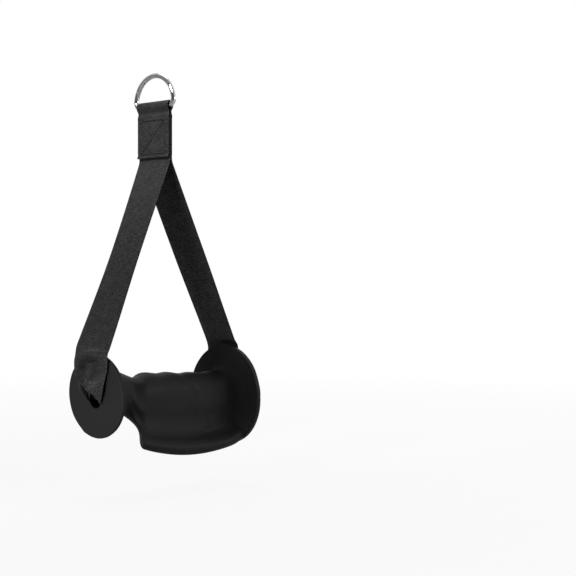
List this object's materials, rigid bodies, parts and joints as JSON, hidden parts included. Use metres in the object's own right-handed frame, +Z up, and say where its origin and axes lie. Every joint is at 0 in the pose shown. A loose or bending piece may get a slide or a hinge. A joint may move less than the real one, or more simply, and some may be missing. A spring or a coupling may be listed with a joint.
{
  "type": "cable handle",
  "caption": "Ergonomic cable machine handle: moulded grip with palm pad, end disc and flange, carried on a webbing loop under a welded D-ring.",
  "frame": {"origin": "inside top of the D-ring, where the carabiner bears", "axes": "+Z up towards the cable, +X along the grip from the end disc to the palm flange, -Y the palm side"},
  "size_m": [0.1655, 0.0796, 0.3295],
  "materials": {
    "chromed_steel": "bright plated round wire, welded",
    "black_webbing": "woven nylon, slight sheen",
    "black_thread": "bonded sewing thread",
    "core_plastic": "plain extruded tube",
    "black_rubber": "satin soft-touch moulding"
  },
  "bodies": {
    "ring": {"d_ring": "chromed_steel"},
    "strap": {"webbing_strap": "black_webbing", "needle_thread": "black_thread", "bobbin_thread": "black_thread"},
    "grip": {"grip_cover": "black_rubber", "core_tube": "core_plastic"}
  },
  "joints": [
    {"name": "strap_swing", "type": "hinge", "parent": "ring", "child": "strap", "pos_m": [0, 0, -0.02455], "axis": [0, 1, 0], "range_deg": [-150, 150]},
    {"name": "grip_turn", "type": "hinge", "parent": "strap", "child": "grip", "pos_m": [0, 0, -0.27185], "axis": [1, 0, 0], "range_deg": [-3, 60]}
  ]
}
